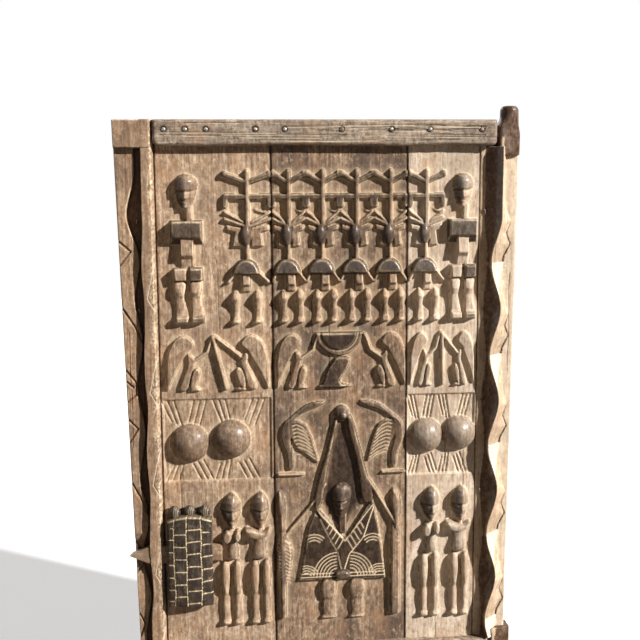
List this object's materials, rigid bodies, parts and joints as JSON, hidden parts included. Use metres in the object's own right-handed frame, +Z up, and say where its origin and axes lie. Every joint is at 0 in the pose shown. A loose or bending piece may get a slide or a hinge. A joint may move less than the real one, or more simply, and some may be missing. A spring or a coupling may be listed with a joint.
{
  "type": "granary door",
  "caption": "Carved plank door of a granary, with pivot stile, battens and a wooden tumbler lock.",
  "frame": {"origin": "foot of the pivot stile, on the axis of the two pintles", "axes": "+Z up along the pintle axis, +X to the right seen from the carved side, +Y to the back"},
  "size_m": [1.0062, 0.0778, 1.494],
  "materials": {
    "board_wood": "hand-rubbed old hardwood",
    "stile_wood": "hand-rubbed old hardwood",
    "batten_wood": "weathered dark hardwood",
    "lock_wood": "dark patinated hardwood",
    "bolt_wood": "worn hardwood",
    "iron": "hand-forged, rusted"
  },
  "bodies": {
    "door": {"left_plank": "board_wood", "centre_plank": "board_wood", "right_plank": "board_wood", "left_stile": "stile_wood", "right_stile": "stile_wood", "top_batten": "batten_wood", "bottom_batten": "batten_wood", "lock_case": "lock_wood", "top_batten_nails": "iron", "bottom_batten_nails": "iron", "left_stile_nails": "iron", "right_stile_nails": "iron", "left_stile_staples": "iron", "left_seam_staples": "iron", "right_seam_staples": "iron", "right_stile_staples": "iron", "lock_nails": "iron"},
    "bolt": {"lock_bolt": "bolt_wood"},
    "pin_1": {"tumbler_pin_1": "iron"},
    "pin_2": {"tumbler_pin_2": "iron"},
    "pin_3": {"tumbler_pin_3": "iron"}
  },
  "joints": [
    {"name": "bolt_slide", "type": "slide", "parent": "door", "child": "bolt", "axis": [-1, 0, 0], "range_m": [0, 0.022]},
    {"name": "pin_lift_1", "type": "slide", "parent": "door", "child": "pin_1", "axis": [0, 0, 1], "range_m": [0, 0.012]},
    {"name": "pin_lift_2", "type": "slide", "parent": "door", "child": "pin_2", "axis": [0, 0, 1], "range_m": [0, 0.012]},
    {"name": "pin_lift_3", "type": "slide", "parent": "door", "child": "pin_3", "axis": [0, 0, 1], "range_m": [0, 0.012]}
  ]
}
